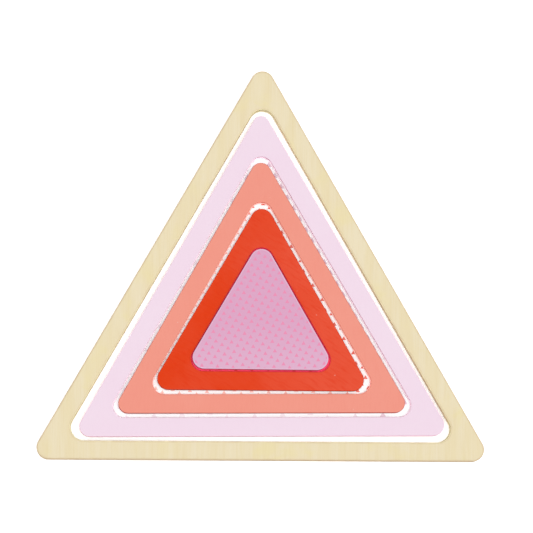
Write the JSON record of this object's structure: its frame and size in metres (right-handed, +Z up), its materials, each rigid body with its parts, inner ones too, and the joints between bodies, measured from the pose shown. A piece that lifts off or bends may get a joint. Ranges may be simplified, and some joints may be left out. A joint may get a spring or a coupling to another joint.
{
  "type": "nesting triangle tray puzzle",
  "caption": "Flat wooden nesting puzzle: painted triangular trays with rounded corners lie one inside another in a natural wood frame, round a solid centre tile.",
  "frame": {"origin": "on the underside, on the three-fold axis of the frame tray", "axes": "+Z up out of the trays, +Y towards the apex, +X along the base side"},
  "size_m": [0.2168, 0.1893, 0.017],
  "materials": {
    "natural_wood": "bare sanded birch ply, grain running from base to apex",
    "white_liner": "plain white matt sheet",
    "lavender_paint": "satin pale lavender paint on wood",
    "lavender_print": "white sheet with small lavender triangles",
    "coral_paint": "satin coral paint on wood",
    "coral_print": "white sheet with small coral triangles",
    "red_paint": "satin orange-red paint on wood, fine brushed grain",
    "red_print": "hot pink sheet with small red triangles",
    "tile_paint": "satin mauve-pink paint on wood",
    "tile_print": "mauve sheet with small pink triangles"
  },
  "bodies": {
    "frame": {"frame_rim": "natural_wood", "frame_floor": "natural_wood", "frame_liner": "white_liner"},
    "lavender_tray": {"lavender_rim": "lavender_paint", "lavender_floor": "lavender_paint", "lavender_liner": "lavender_print"},
    "coral_tray": {"coral_rim": "coral_paint", "coral_floor": "coral_paint", "coral_liner": "coral_print"},
    "red_tray": {"red_rim": "red_paint", "red_floor": "red_paint", "red_liner": "red_print"},
    "tile": {"centre_tile": "tile_paint", "centre_print": "tile_print"}
  },
  "joints": [
    {"name": "lavender_lift", "type": "slide", "parent": "frame", "child": "lavender_tray", "axis": [0, 0, 1], "range_m": [0, 0.03]},
    {"name": "coral_lift", "type": "slide", "parent": "lavender_tray", "child": "coral_tray", "axis": [0, 0, 1], "range_m": [0, 0.03]},
    {"name": "red_lift", "type": "slide", "parent": "coral_tray", "child": "red_tray", "axis": [0, 0, 1], "range_m": [0, 0.03]},
    {"name": "tile_lift", "type": "slide", "parent": "red_tray", "child": "tile", "axis": [0, 0, 1], "range_m": [0, 0.03]}
  ]
}
